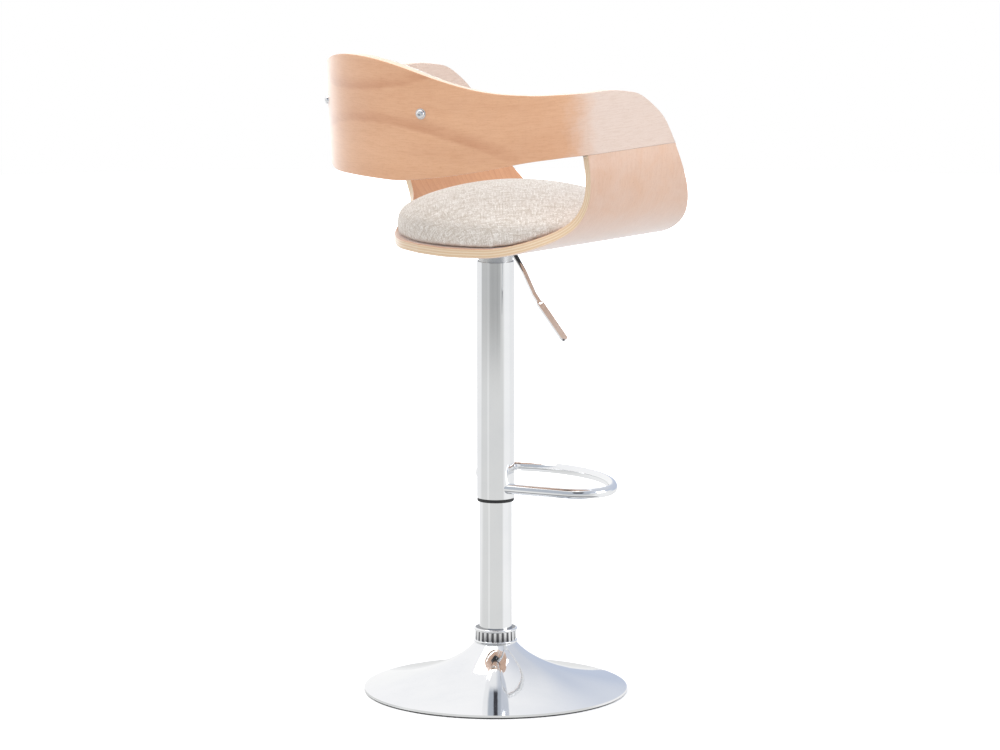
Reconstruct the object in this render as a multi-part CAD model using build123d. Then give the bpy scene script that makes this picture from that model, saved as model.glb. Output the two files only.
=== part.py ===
from build123d import *
import math
import os

# Adjustable swivel stool, in millimetres.
# Origin: centre of the base on the floor. +Z is up and the seat faces -Y.

# Base
base_radius = 200.0
mat_thickness = 2.5
mat_inset = 3.0
cover_wall = 1.5
rim_lip_height = 2.0
cover_flare = 37.5
neck_radius = 31.5
cover_steps = 9
weight_inset = 50.0
weight_gap = 0.8
foot_well_radius = 14.0
flange_radius = 50.0
flange_thickness = 6.0
flange_bolt_circle = 38.0
flange_bolt_count = 4
flange_bolt_radius = 4.0
flange_bolt_head_radius = 6.5
flange_bolt_head_height = 4.0
flange_nut_across_flats = 13.0
flange_nut_height = 6.5
bolt_hole_gap = 0.3

# Collar at the foot of the column
collar_radius = 33.0
collar_height = 23.0
collar_bead_height = 4.5
collar_waist_inset = 1.8
flute_count = 24
flute_radius = 2.6

# Column
lower_tube_radius = 25.0
lower_tube_wall = 2.0
sleeve_radius = 28.5
sleeve_wall = 1.5
sleeve_bottom = 299.0
sleeve_drop = 30.0
end_ring_inset = 0.5
end_ring_lip = 5.0
end_ring_depth = 18.0
guide_depth = 60.0
guide_lip = 3.0
stroke = 190.0
stroke_gap = 1.5
running_gap = 0.06
seat_gap = 0.05

# Gas spring
rod_radius = 5.0
rod_bottom = 12.0
rod_neck_radius = 3.7
piston_height = 12.0
piston_gap = 0.09
piston_above_gland = 2.0
gland_height = 12.0
cylinder_radius = 14.0
cylinder_wall = 1.5
cylinder_drop = 19.0
cylinder_stop_gap = 4.0
cylinder_plug_height = 32.0
taper_height = 22.0
taper_top_radius = 13.2
button_radius = 4.0
button_length = 16.0
button_stroke = 5.5
button_rise = 5.2
rod_seat_thickness = 6.0

# Thrust bearing and stops on the rod
race_radius = 13.0
race_thickness = 2.0
race_bore_gap = 0.3
ball_radius = 2.4
ball_count = 12
ball_circle = 9.75
ball_gap = 0.03
cage_thickness = 1.6
rod_collar_radius = 9.0
rod_collar_height = 3.0
bump_stop_radius = 11.0
bump_stop_height = 8.0
clip_radius = 8.0
clip_thickness = 1.2
clip_gap = 0.3

# Foot loop
loop_height = 315.0
loop_tube_radius = 8.0
loop_tube_wall = 1.5
loop_front_radius = 177.0
loop_corner_radius = 52.0
loop_leg_spread = 60.5
loop_leg_forward = 5.0
loop_leg_offset = 0.5

# Seat carrier
seat_height = 690.0
seat_tilt = 2.87
plate_width = 140.0
plate_depth = 130.0
plate_thickness = 3.0
plate_flange = 6.0
plate_corner = 12.0
plate_screw_side = 52.0
plate_screw_forward = 42.0
screw_radius = 3.0
screw_head_radius = 6.0
screw_head_height = 3.5
insert_radius = 4.2
insert_skin = 2.0
socket_radius = 26.0
socket_neck_radius = 22.0
socket_neck_height = 10.0
socket_well_radius = 18.0
cap_thickness = 6.0

# Release lever
lever_radius = 4.0
lever_drop = 9.5
lever_pivot_side = 34.0
lever_inner_end = -6.0
lever_slot_width = 12.0
lever_bend_radius = 14.0
lever_straight_end = 42.0
lever_bends = [(73.0, 39.0), (97.0, 69.0)]
paddle_start = (113.0, 82.0)
paddle_end = (170.0, 125.0)
paddle_width = 12.0
paddle_thickness = 4.0
bracket_length = 14.0
bracket_wall = 2.5
bracket_drop = 13.0
bracket_gap = 0.4
pin_radius = 2.0
pin_gap = 0.05
pin_head_radius = 3.5
pin_head_height = 1.5

# Moulded plywood
ply = 14.0
half_width = 250.0
bend_radius = 140.0
seam_height = 155.0
seam_gap = 0.2
back_centre = 10.0
sheet_steps = 40
dowel_radius = 3.0
dowel_half_length = 15.0
dowel_places = [12.0, 70.0, 126.0]

# Edge lines of the two plywood pieces. The shell's are (distance from the middle of the
# floor along the outer skin, forward). The band's are (forward, height above the seam).
shell_rear_line = [
    (0.0, -142.0), (60.0, -134.0), (110.0, -108.0), (150.0, -76.0), (175.0, -49.0),
    (198.0, -23.0), (222.0, -7.0), (250.0, -0.5), (280.0, 0.0), (345.0, -7.0),
]
shell_front_line = [
    (0.0, 206.0), (170.0, 206.0), (210.0, 203.0), (246.0, 193.0), (278.0, 181.0),
    (316.0, 165.0), (345.0, 154.0),
]
band_top_line = [
    (-240.0, 153.0), (-196.0, 123.0), (-150.0, 104.0), (-92.0, 95.0), (-55.0, 93.0),
    (0.0, 91.0), (40.0, 90.5), (68.0, 86.0), (92.0, 79.0), (118.0, 59.0),
    (138.0, 36.0), (154.0, 2.0),
]
band_low_line = [
    (-240.0, -26.0), (-228.0, -27.0), (-205.0, -22.0), (-110.0, -4.0), (-50.0, 0.0),
    (-7.0, 0.0), (154.0, 0.0),
]

# Upholstery
soft_gap = 0.3
cushion_side_gap = 59.0
cushion_rear = -137.0
cushion_front = 194.0
cushion_front_corner = 55.0
cushion_height = 85.0
cushion_crown_rise = 44.75
cushion_edge_round = 16.0
board_thickness = 10.0
board_side_gap = 73.0
board_front = 188.0
board_rear = -70.0
board_corner = 20.0
cushion_bolt_insets = [(178.0, 14.0), (-45.0, 23.0)]
cushion_bolt_grip = 7.7
pad_board_thickness = 6.0
pad_thickness = 16.0
pad_half_angle = 54.0
pad_top_inset = 2.0
pad_bottom_inset = 8.0
pad_board_inset = 12.0
back_bolt_angle = 28.5
back_bolt_above_seam = 73.0
back_bolt_head_radius = 6.5
back_bolt_head_height = 4.0
back_washer_radius = 8.0
back_washer_thickness = 1.0
socket_key_radius = 2.5

# Heights that follow from the stack in the base
def cover_normal(radius):
    slope = -cover_flare / radius
    length = math.hypot(1.0, slope)
    return -slope / length, 1.0 / length


lip_top = mat_thickness + rim_lip_height
rim_height = lip_top + cover_wall * cover_normal(base_radius)[1]


def cover_height(radius):
    return rim_height + cover_flare * math.log(base_radius / radius)


def cover_inside_height(radius):
    return cover_height(radius) - cover_wall / cover_normal(radius)[1]


weight_radius = base_radius - weight_inset
neck_height = cover_height(neck_radius)
weight_top = cover_inside_height(weight_radius) - weight_gap
flange_top = weight_top + flange_thickness
rod_seat_top = flange_top + rod_seat_thickness
ball_height = rod_seat_top + race_thickness + ball_gap + ball_radius
upper_race_bottom = ball_height + ball_radius + ball_gap
rod_collar_bottom = upper_race_bottom + race_thickness
rod_collar_top = rod_collar_bottom + rod_collar_height
clip_top = flange_top - clip_gap
bump_stop_top = rod_collar_top + bump_stop_height
cylinder_bottom = bump_stop_top + cylinder_stop_gap + stroke
piston_bottom = cylinder_bottom + gland_height + piston_above_gland
sleeve_top = seat_height - sleeve_drop
cylinder_top = seat_height - cylinder_drop
lever_height = seat_height - lever_drop
lower_tube_top = sleeve_top - socket_neck_height - stroke - stroke_gap - guide_lip
lower_tube_bore = lower_tube_radius - lower_tube_wall
sleeve_bore = sleeve_radius - sleeve_wall
end_ring_radius = sleeve_radius - end_ring_inset
loop_leg_side = sleeve_radius + loop_leg_offset
cylinder_bore = cylinder_radius - cylinder_wall
button_top = cylinder_top + button_rise
floor_half_width = half_width - bend_radius
insert_length = ply - insert_skin
cushion_rear_radius = half_width - cushion_side_gap
cushion_rear_centre = cushion_rear + cushion_rear_radius
cushion_crown_radius = (cushion_rear_radius ** 2 / cushion_crown_rise + cushion_crown_rise) / 2
board_half_width = cushion_rear_radius - board_side_gap
cushion_bolt_length = ply + soft_gap + cushion_bolt_grip
seat_frame = Pos(0, 0, seat_height) * Rot(X=-seat_tilt)


# Shapes used by many pieces
def disc(radius, low, high):
    upright = (Align.CENTER, Align.CENTER, Align.MIN)
    return Pos(0, 0, low) * Cylinder(radius, high - low, align=upright)


def ring(outer, inner, low, high):
    return disc(outer, low, high) - disc(inner, low - 1, high + 1)


def around(count, radius, piece, start=0.0):
    step = 360.0 / count
    return [Rot(Z=start + step * i) * Pos(radius, 0, 0) * piece for i in range(count)]


def cut_all(body, tools):
    for tool in tools:
        body = body - tool
    return body


def hexagon(across_flats, low, high):
    outline = RegularPolygon(across_flats / 2, 6, major_radius=False)
    return Pos(0, 0, low) * extrude(outline, high - low)


def block(low_corner, high_corner):
    size = [b - a for a, b in zip(low_corner, high_corner)]
    return Pos(*low_corner) * Box(*size, align=(Align.MIN, Align.MIN, Align.MIN))


def forward(distance):
    return -distance


def side_line(knots, place):
    """Smooth cubic line through the knots, read at one place."""
    last = len(knots) - 1
    index = 0
    while index < last - 1 and knots[index + 1][0] < place:
        index += 1
    slopes = []
    for i in (index, index + 1):
        before = knots[max(i - 1, 0)]
        after = knots[min(i + 1, last)]
        slopes.append((after[1] - before[1]) / (after[0] - before[0]))
    span = knots[index + 1][0] - knots[index][0]
    t = (place - knots[index][0]) / span
    start_part = (1 + 2 * t) * (1 - t) ** 2 * knots[index][1]
    end_part = t * t * (3 - 2 * t) * knots[index + 1][1]
    lean_part = t * (1 - t) ** 2 * slopes[0] - t * t * (1 - t) * slopes[1]
    return start_part + end_part + lean_part * span


def bent_sheet(corner_lines):
    """Solid between four long corner lines given in order around the section."""
    count = len(corner_lines[0])
    stations = [i / (count - 1) for i in range(count)]
    edges = [Edge.make_spline(line, parameters=stations) for line in corner_lines]
    faces = []
    for i in range(4):
        faces.append(Face.make_surface_from_curves(edges[i], edges[(i + 1) % 4]))
    for end in (0, -1):
        outline = Wire.make_polygon([line[end] for line in corner_lines], close=True)
        faces.append(Face(outline))
    return Solid(Shell(faces))


# Base pieces
def make_floor_mat():
    return disc(base_radius - mat_inset, 0, mat_thickness)


def make_base_cover():
    ratio = (base_radius / neck_radius) ** (1.0 / (cover_steps - 1))
    outer = []
    inner = []
    for i in range(cover_steps):
        radius = neck_radius * ratio ** i
        height = cover_height(radius)
        out, up = cover_normal(radius)
        outer.append((radius, 0, height))
        inner.append((radius - cover_wall * out, 0, height - cover_wall * up))
    outer_line = Edge.make_spline(outer)
    inner_line = Edge.make_spline(inner)
    neck_line = Edge.make_line(outer[0], inner[0])
    rim_line = Edge.make_line(outer[-1], inner[-1])
    section = Face(Wire([outer_line, rim_line, inner_line, neck_line]))
    lip = ring(base_radius, base_radius - cover_wall, mat_thickness, rim_height)
    return revolve(section, Axis.Z, 360) + lip


def make_base_weight():
    body = ring(weight_radius, foot_well_radius, mat_thickness, weight_top)
    shank = disc(flange_bolt_radius + bolt_hole_gap, 0, weight_top + 1)
    recess_top = mat_thickness + flange_bolt_head_height + bolt_hole_gap
    recess = disc(flange_bolt_head_radius + bolt_hole_gap, 0, recess_top)
    return cut_all(body, around(flange_bolt_count, flange_bolt_circle, shank + recess))


def make_column_flange():
    body = ring(flange_radius, foot_well_radius, weight_top, flange_top)
    hole = disc(flange_bolt_radius + bolt_hole_gap, 0, flange_top + 1)
    return cut_all(body, around(flange_bolt_count, flange_bolt_circle, hole))


def make_flange_bolts():
    head_top = mat_thickness + bolt_hole_gap + flange_bolt_head_height
    head = disc(flange_bolt_head_radius, mat_thickness + bolt_hole_gap, head_top)
    shank = disc(flange_bolt_radius, head_top, flange_top + flange_nut_height + 2)
    return around(flange_bolt_count, flange_bolt_circle, head + shank)


def make_flange_nuts():
    nut = hexagon(flange_nut_across_flats, flange_top, flange_top + flange_nut_height)
    nut = nut - disc(flange_bolt_radius, 0, flange_top + flange_nut_height + 1)
    return around(flange_bolt_count, flange_bolt_circle, nut)


def make_collar():
    low = neck_height
    high = neck_height + collar_height
    waist = collar_radius - collar_waist_inset
    body = ring(waist, lower_tube_radius + seat_gap, low, high)
    for bead_low in (low, high - collar_bead_height):
        bead_high = bead_low + collar_bead_height
        bead = ring(collar_radius, lower_tube_radius + seat_gap, bead_low, bead_high)
        circles = bead.edges().filter_by(GeomType.CIRCLE)
        rims = [edge for edge in circles if edge.radius > waist]
        body = body + fillet(rims, collar_bead_height * 0.4)
    flute = disc(flute_radius, low + collar_bead_height, high - collar_bead_height)
    return cut_all(body, around(flute_count, waist + flute_radius * 0.45, flute))


def make_lower_tube():
    return ring(lower_tube_radius, lower_tube_bore, flange_top, lower_tube_top)


def make_rod_seat():
    return ring(lower_tube_bore - seat_gap, rod_radius + seat_gap, flange_top, rod_seat_top)


def make_guide_bush():
    outside = lower_tube_bore - seat_gap
    bore = cylinder_radius + running_gap
    body = ring(outside, bore, lower_tube_top - guide_depth, lower_tube_top)
    return body + ring(lower_tube_radius, bore, lower_tube_top, lower_tube_top + guide_lip)


def make_bearing_race(low):
    return ring(race_radius, rod_radius + race_bore_gap, low, low + race_thickness)


def make_bearing_balls():
    return around(ball_count, ball_circle, Pos(0, 0, ball_height) * Sphere(ball_radius))


def make_bearing_cage():
    low = ball_height - cage_thickness / 2
    high = ball_height + cage_thickness / 2
    body = ring(race_radius, ball_circle - ball_radius - 1, low, high)
    pocket = disc(ball_radius + 0.1, low - 1, high + 1)
    return cut_all(body, around(ball_count, ball_circle, pocket))


# Piston rod and what turns with it
def make_piston_rod():
    rod = disc(rod_radius, rod_bottom, piston_bottom + piston_height)
    rod = rod + disc(rod_collar_radius, rod_collar_bottom, rod_collar_top)
    groove_low = clip_top - clip_thickness - seat_gap
    return rod - ring(rod_radius + 1, rod_neck_radius, groove_low, clip_top + seat_gap)


def make_retaining_clip():
    return ring(clip_radius, rod_neck_radius + seat_gap, clip_top - clip_thickness, clip_top)


def make_bump_stop():
    return ring(bump_stop_radius, rod_radius + seat_gap, rod_collar_top, bump_stop_top)


def make_piston():
    outside = cylinder_bore - piston_gap
    return ring(outside, rod_radius, piston_bottom, piston_bottom + piston_height)


# Gas cylinder and sleeve
def make_gas_cylinder():
    taper_bottom = cylinder_top - taper_height
    body = disc(cylinder_radius, cylinder_bottom, taper_bottom)
    taper = Cone(cylinder_radius, taper_top_radius, taper_height)
    body = body + Pos(0, 0, taper_bottom + taper_height / 2) * taper
    body = body - disc(cylinder_bore, cylinder_bottom - 1, cylinder_top - cylinder_plug_height)
    shaft_bottom = button_top - button_length - button_stroke
    return body - disc(button_radius + seat_gap, shaft_bottom, cylinder_top + 1)


def make_cylinder_gland():
    top = cylinder_bottom + gland_height
    return ring(cylinder_bore, rod_radius + running_gap, cylinder_bottom, top)


def make_valve_button():
    button = disc(button_radius, button_top - button_length, button_top)
    return fillet(button.edges().sort_by(Axis.Z)[-1], 1.0)


def make_upper_tube():
    return ring(sleeve_radius, sleeve_bore, sleeve_bottom, sleeve_top)


def make_sleeve_cap():
    return ring(sleeve_bore, socket_neck_radius, sleeve_top - cap_thickness, sleeve_top)


def make_sleeve_end_ring():
    bore = lower_tube_radius + running_gap
    lip = ring(end_ring_radius, bore, sleeve_bottom - end_ring_lip, sleeve_bottom)
    return lip + ring(sleeve_bore, bore, sleeve_bottom, sleeve_bottom + end_ring_depth)


# Foot loop: two straight legs, two corners and a front arc about the column
def make_foot_loop():
    lean = math.radians(loop_leg_spread)
    along = (math.cos(lean), math.sin(lean))
    inward = (math.sin(lean), -math.cos(lean))
    base_x = loop_leg_forward + loop_corner_radius * inward[0]
    base_y = loop_leg_side + loop_corner_radius * inward[1]
    reach = loop_front_radius - loop_corner_radius
    middle = base_x * along[0] + base_y * along[1]
    run = -middle + math.sqrt(middle ** 2 - base_x ** 2 - base_y ** 2 + reach ** 2)
    centre = (base_x + run * along[0], base_y + run * along[1])
    leg_start = (loop_leg_forward, loop_leg_side)
    leg_end = (leg_start[0] + run * along[0], leg_start[1] + run * along[1])
    corner_end_scale = loop_front_radius / reach
    corner_end = (centre[0] * corner_end_scale, centre[1] * corner_end_scale)
    bisector = math.atan2(-inward[1], -inward[0]) + math.atan2(centre[1], centre[0])
    corner_middle = (
        centre[0] + loop_corner_radius * math.cos(bisector / 2),
        centre[1] + loop_corner_radius * math.sin(bisector / 2),
    )
    buried = loop_tube_radius * 1.2
    start = (leg_start[0] - buried * along[0], leg_start[1] - buried * along[1])

    def place(point, side):
        return (-side * point[1], forward(point[0]), loop_height)

    edges = [
        Edge.make_line(place(start, 1), place(leg_end, 1)),
        Edge.make_three_point_arc(
            place(leg_end, 1), place(corner_middle, 1), place(corner_end, 1)
        ),
        Edge.make_three_point_arc(
            place(corner_end, 1), place((loop_front_radius, 0), 1), place(corner_end, -1)
        ),
        Edge.make_three_point_arc(
            place(corner_end, -1), place(corner_middle, -1), place(leg_end, -1)
        ),
        Edge.make_line(place(leg_end, -1), place(start, -1)),
    ]
    path = Wire(edges)
    section = Plane(origin=path @ 0, z_dir=path % 0)
    outside = sweep(section * Circle(loop_tube_radius), path)
    inside = sweep(section * Circle(loop_tube_radius - loop_tube_wall), path)
    low = loop_height - 2 * loop_tube_radius
    high = loop_height + 2 * loop_tube_radius
    return outside - inside - disc(sleeve_radius, low, high)


# Seat carrier
def screw_places():
    places = []
    for x in (-plate_screw_side, plate_screw_side):
        for y in (-plate_screw_forward, plate_screw_forward):
            places.append((x, y))
    return places


def at_screws(piece):
    return [seat_frame * Pos(x, y, 0) * piece for x, y in screw_places()]


def make_seat_plate():
    outline = RectangleRounded(plate_width, plate_depth, plate_corner)
    plate = Pos(0, 0, -plate_thickness) * extrude(outline, plate_thickness)
    reach = plate_width / 2 - plate_corner
    for front in (-1, 1):
        wall_low = front * plate_depth / 2 - (plate_thickness if front > 0 else 0)
        low_corner = (-reach, wall_low, -plate_thickness - plate_flange)
        high_corner = (reach, wall_low + plate_thickness, -plate_thickness)
        plate = plate + block(low_corner, high_corner)
    hole = disc(screw_radius + bolt_hole_gap, -plate_thickness - 1, 1)
    plate = cut_all(plate, [Pos(x, y, 0) * hole for x, y in screw_places()])
    return seat_frame * plate


def make_plate_screws():
    head_top = -plate_thickness
    head = disc(screw_head_radius, head_top - screw_head_height, head_top)
    return at_screws(head + disc(screw_radius, head_top, insert_length - 1))


def make_screw_inserts():
    return at_screws(ring(insert_radius, screw_radius, 0, insert_length))


def below_plate():
    reach = 2 * plate_width
    return seat_frame * block((-reach, -reach, -reach), (reach, reach, -plate_thickness))


def make_plate_socket():
    neck_bottom = sleeve_top - socket_neck_height
    taper_bottom = cylinder_top - taper_height
    body = disc(socket_neck_radius, neck_bottom, sleeve_top)
    body = body + disc(socket_radius, sleeve_top, seat_height + 10)
    bore = Cone(cylinder_radius + seat_gap, taper_top_radius + seat_gap, taper_height)
    body = body - Pos(0, 0, taper_bottom + taper_height / 2) * bore
    body = body - disc(socket_well_radius, cylinder_top, seat_height + 20)
    slot_low = (-2 * socket_radius, -lever_slot_width / 2, cylinder_top)
    slot_high = (0, lever_slot_width / 2, seat_height + 20)
    return (body - block(slot_low, slot_high)) & below_plate()


def make_lever_bracket():
    gap = lever_radius + bracket_gap
    low = seat_height - bracket_drop
    ends = (-lever_pivot_side - bracket_length / 2, -lever_pivot_side + bracket_length / 2)
    bracket = None
    for side in (-1, 1):
        near = side * gap
        far = side * (gap + bracket_wall)
        low_corner = (ends[0], min(near, far), low)
        ear = block(low_corner, (ends[1], max(near, far), seat_height + 10))
        bracket = ear if bracket is None else bracket + ear
    hole = Pos(-lever_pivot_side, 0, lever_height) * Rot(X=90)
    bracket = bracket - hole * Cylinder(pin_radius + pin_gap, 6 * lever_radius)
    bracket = bracket & below_plate()
    return bracket - disc(socket_radius, 0, seat_height)


def make_lever_pin():
    reach = lever_radius + bracket_gap + bracket_wall
    place = Pos(-lever_pivot_side, 0, lever_height) * Rot(X=90)
    pin = Cylinder(pin_radius, 2 * reach)
    for side in (-1, 1):
        head = Pos(0, 0, side * (reach + pin_head_height / 2))
        pin = pin + head * Cylinder(pin_head_radius, pin_head_height)
    return place * pin


def make_release_lever():
    straight = [(lever_inner_end, lever_drop), (lever_straight_end, lever_drop)]
    route = straight + lever_bends + [paddle_start]
    points = [(-side, 0, seat_height - drop) for side, drop in route]
    path = FilletPolyline(*points, radius=lever_bend_radius)
    rod = sweep(Plane(origin=path @ 0, z_dir=path % 0) * Circle(lever_radius), path)
    paddle_run = (paddle_end[0] - paddle_start[0], paddle_end[1] - paddle_start[1])
    length = math.hypot(*paddle_run)
    middle_side = (paddle_start[0] + paddle_end[0]) / 2
    middle_height = seat_height - (paddle_start[1] + paddle_end[1]) / 2
    lie = Plane(
        origin=(-middle_side, 0, middle_height),
        x_dir=(-paddle_run[0], 0, -paddle_run[1]),
        z_dir=(-paddle_run[1], 0, paddle_run[0]),
    )
    outline = lie * SlotOverall(length + paddle_width, paddle_width)
    paddle = extrude(outline, paddle_thickness / 2, both=True)
    lever = rod + paddle
    bore = Pos(-lever_pivot_side, 0, lever_height) * Rot(X=90)
    return lever - bore * Cylinder(pin_radius + pin_gap, 4 * lever_radius)


# Moulded plywood
def shell_section(run):
    """Point and inward direction on the shell's outer skin, from the middle of the floor."""
    bend_length = bend_radius * math.pi / 2
    if run <= floor_half_width:
        return (run, 0.0), (0.0, 1.0)
    if run <= floor_half_width + bend_length:
        angle = (run - floor_half_width) / bend_radius
        side = floor_half_width + bend_radius * math.sin(angle)
        height = bend_radius * (1 - math.cos(angle))
        return (side, height), (-math.sin(angle), math.cos(angle))
    height = bend_radius + run - floor_half_width - bend_length
    return (half_width, height), (-1.0, 0.0)


shell_run = floor_half_width + bend_radius * math.pi / 2 + seam_height - bend_radius


def shell_line(knots, depth):
    """One long corner of the shell: its run is scaled so that it ends at the seam."""
    scale = knots[-1][0] / shell_run
    line = []
    for i in range(-sheet_steps, sheet_steps + 1):
        run = shell_run * i / sheet_steps
        point, inward = shell_section(abs(run))
        side = math.copysign(point[0] + inward[0] * depth, run)
        height = point[1] + inward[1] * depth
        reach = side_line(knots, abs(run) * scale)
        line.append((side, forward(reach), height))
    return line


def band_line(knots, depth, last_angle=None, lift=0.0):
    """One long corner of the band: straight arms and a half circle at the back."""
    radius = half_width - depth
    arm = knots[-1][0] - back_centre
    arc = math.pi / 2 * half_width
    limit = arc + arm if last_angle is None else math.radians(last_angle) * half_width
    rear_scale = knots[0][0] / (back_centre - half_width)
    line = []
    for i in range(-sheet_steps, sheet_steps + 1):
        run = limit * i / sheet_steps
        if abs(run) <= arc:
            angle = run / half_width
            side = radius * math.sin(angle)
            reach = back_centre - radius * math.cos(angle)
            place = back_centre - half_width * math.cos(angle)
        else:
            side = math.copysign(radius, run)
            reach = back_centre + abs(run) - arc
            place = reach
        place = place * rear_scale if place < 0 else place
        height = seam_height + seam_gap + side_line(knots, place) + lift
        line.append((side, forward(reach), height))
    return line


def dowel_points():
    middle = half_width - ply / 2
    return [(side * middle, forward(place)) for side in (-1, 1) for place in dowel_places]


def at_dowels(radius, extra):
    reach = dowel_half_length + extra
    peg = disc(radius, seam_height - reach, seam_height + reach)
    return [Pos(x, y, 0) * peg for x, y in dowel_points()]


def cushion_bolt_points():
    points = []
    for side in (-1, 1):
        for place, inset in cushion_bolt_insets:
            points.append((side * (board_half_width - inset), forward(place)))
    return points


def make_seat_shell():
    shell = bent_sheet([
        shell_line(shell_rear_line, 0),
        shell_line(shell_rear_line, ply),
        shell_line(shell_front_line, ply),
        shell_line(shell_front_line, 0),
    ])
    shell = cut_all(shell, at_dowels(dowel_radius + seat_gap, 0.5))
    insert_hole = disc(insert_radius, -1, insert_length)
    shell = cut_all(shell, [Pos(x, y, 0) * insert_hole for x, y in screw_places()])
    bolt_hole = disc(screw_radius + bolt_hole_gap, -1, ply + 5)
    shell = cut_all(shell, [Pos(x, y, 0) * bolt_hole for x, y in cushion_bolt_points()])
    return seat_frame * shell


def at_back_bolts(piece):
    """The piece's own axis points away from the column, with its origin on the outer skin."""
    places = []
    for side in (-1, 1):
        turn = Rot(Z=side * back_bolt_angle)
        centre = Pos(0, forward(back_centre), seam_height + back_bolt_above_seam)
        places.append(centre * turn * Pos(0, half_width, 0) * Rot(X=-90) * piece)
    return places


def make_back_band():
    band = bent_sheet([
        band_line(band_low_line, 0),
        band_line(band_low_line, ply),
        band_line(band_top_line, ply),
        band_line(band_top_line, 0),
    ])
    band = cut_all(band, at_dowels(dowel_radius + seat_gap, 0.5))
    hole = disc(screw_radius + bolt_hole_gap, -ply - 5, 5)
    return seat_frame * cut_all(band, at_back_bolts(hole))


def make_seam_dowels():
    return [seat_frame * peg for peg in at_dowels(dowel_radius, 0)]


# Upholstery
def make_cushion_board():
    depth = board_front - board_rear
    outline = RectangleRounded(2 * board_half_width, depth, board_corner)
    middle = (board_front + board_rear) / 2
    low = ply + soft_gap
    board = Pos(0, forward(middle), low) * extrude(outline, board_thickness)
    hole = disc(screw_radius, low - 1, low + board_thickness + 1)
    return seat_frame * cut_all(board, [Pos(x, y, 0) * hole for x, y in cushion_bolt_points()])


def shell_inside():
    """The space above the shell's inner skin, as a long prism along the forward axis."""
    inner_bend = bend_radius - ply - soft_gap
    low = ply + soft_gap
    side = half_width - ply - soft_gap
    reach = 2 * half_width
    prism = block((-side, -reach, low), (side, reach, reach))
    low_edges = prism.edges().filter_by(Axis.Y).sort_by(Axis.Z)[0:2]
    return fillet(low_edges, inner_bend)


def make_seat_cushion():
    straight = cushion_front - cushion_rear_centre
    rear = Pos(0, forward(cushion_rear_centre)) * Circle(cushion_rear_radius)
    front_middle = forward(cushion_rear_centre + straight / 2)
    front = Pos(0, front_middle) * Rectangle(2 * cushion_rear_radius, straight)
    beyond = Rectangle(4 * cushion_rear_radius, 2 * cushion_rear_radius)
    beyond = Pos(0, forward(cushion_front + cushion_rear_radius)) * beyond
    outline = rear + front - beyond
    corners = outline.vertices().sort_by(Axis.Y)[0:2]
    outline = fillet(corners, cushion_front_corner)
    body = extrude(outline, cushion_height)
    crown_middle = (cushion_front + cushion_rear_centre - cushion_rear_radius) / 2
    crown = Sphere(cushion_crown_radius)
    crown_place = Pos(0, forward(crown_middle), cushion_height - cushion_crown_radius)
    body = body & (crown_place * crown)
    top = body.faces().sort_by(Axis.Z)[-1]
    body = fillet(top.edges(), cushion_edge_round)
    body = body & shell_inside()
    depth = board_front - board_rear
    pocket = RectangleRounded(2 * board_half_width, depth, board_corner)
    pocket_middle = forward((board_front + board_rear) / 2)
    pocket_top = ply + soft_gap + board_thickness
    body = body - Pos(0, pocket_middle, 0) * extrude(pocket, pocket_top)
    end = disc(screw_radius + bolt_hole_gap, 0, cushion_bolt_length + bolt_hole_gap)
    body = cut_all(body, [Pos(x, y, 0) * end for x, y in cushion_bolt_points()])
    return seat_frame * body


def make_cushion_bolts():
    head = disc(screw_head_radius, -screw_head_height, 0)
    head = fillet(head.edges().sort_by(Axis.Z)[0], 2.0)
    bolt = head + disc(screw_radius, 0, cushion_bolt_length)
    return [seat_frame * Pos(x, y, 0) * bolt for x, y in cushion_bolt_points()]


def pad_sheet(depth_out, depth_in, angle, top_inset, bottom_inset):
    return bent_sheet([
        band_line(band_low_line, depth_out, angle, bottom_inset),
        band_line(band_low_line, depth_in, angle, bottom_inset),
        band_line(band_top_line, depth_in, angle, -top_inset),
        band_line(band_top_line, depth_out, angle, -top_inset),
    ])


def make_back_pad_board():
    near = ply + soft_gap
    angle = pad_half_angle - math.degrees(pad_board_inset / half_width)
    top_inset = pad_top_inset + pad_board_inset
    bottom_inset = pad_bottom_inset + pad_board_inset
    board = pad_sheet(near, near + pad_board_thickness, angle, top_inset, bottom_inset)
    hole = disc(screw_radius, -near - pad_board_thickness - 5, 0)
    return seat_frame * cut_all(board, at_back_bolts(hole))


def make_back_pad():
    near = ply + 2 * soft_gap + pad_board_thickness
    pad = pad_sheet(near, near + pad_thickness, pad_half_angle, pad_top_inset, pad_bottom_inset)
    return seat_frame * pad


def make_back_bolts():
    head_top = back_washer_thickness + back_bolt_head_height
    head = disc(back_bolt_head_radius, back_washer_thickness, head_top)
    head = fillet(head.edges().sort_by(Axis.Z)[-1], back_bolt_head_height * 0.8)
    key = RegularPolygon(socket_key_radius, 6)
    head = head - Pos(0, 0, back_washer_thickness + 1) * extrude(key, 2 * back_bolt_head_height)
    length = ply + soft_gap + pad_board_thickness
    bolt = head + disc(screw_radius, -length, back_washer_thickness)
    return [seat_frame * piece for piece in at_back_bolts(bolt)]


def make_back_washers():
    washer = ring(back_washer_radius, screw_radius, 0.0, back_washer_thickness)
    return [seat_frame * piece for piece in at_back_bolts(washer)]


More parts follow.
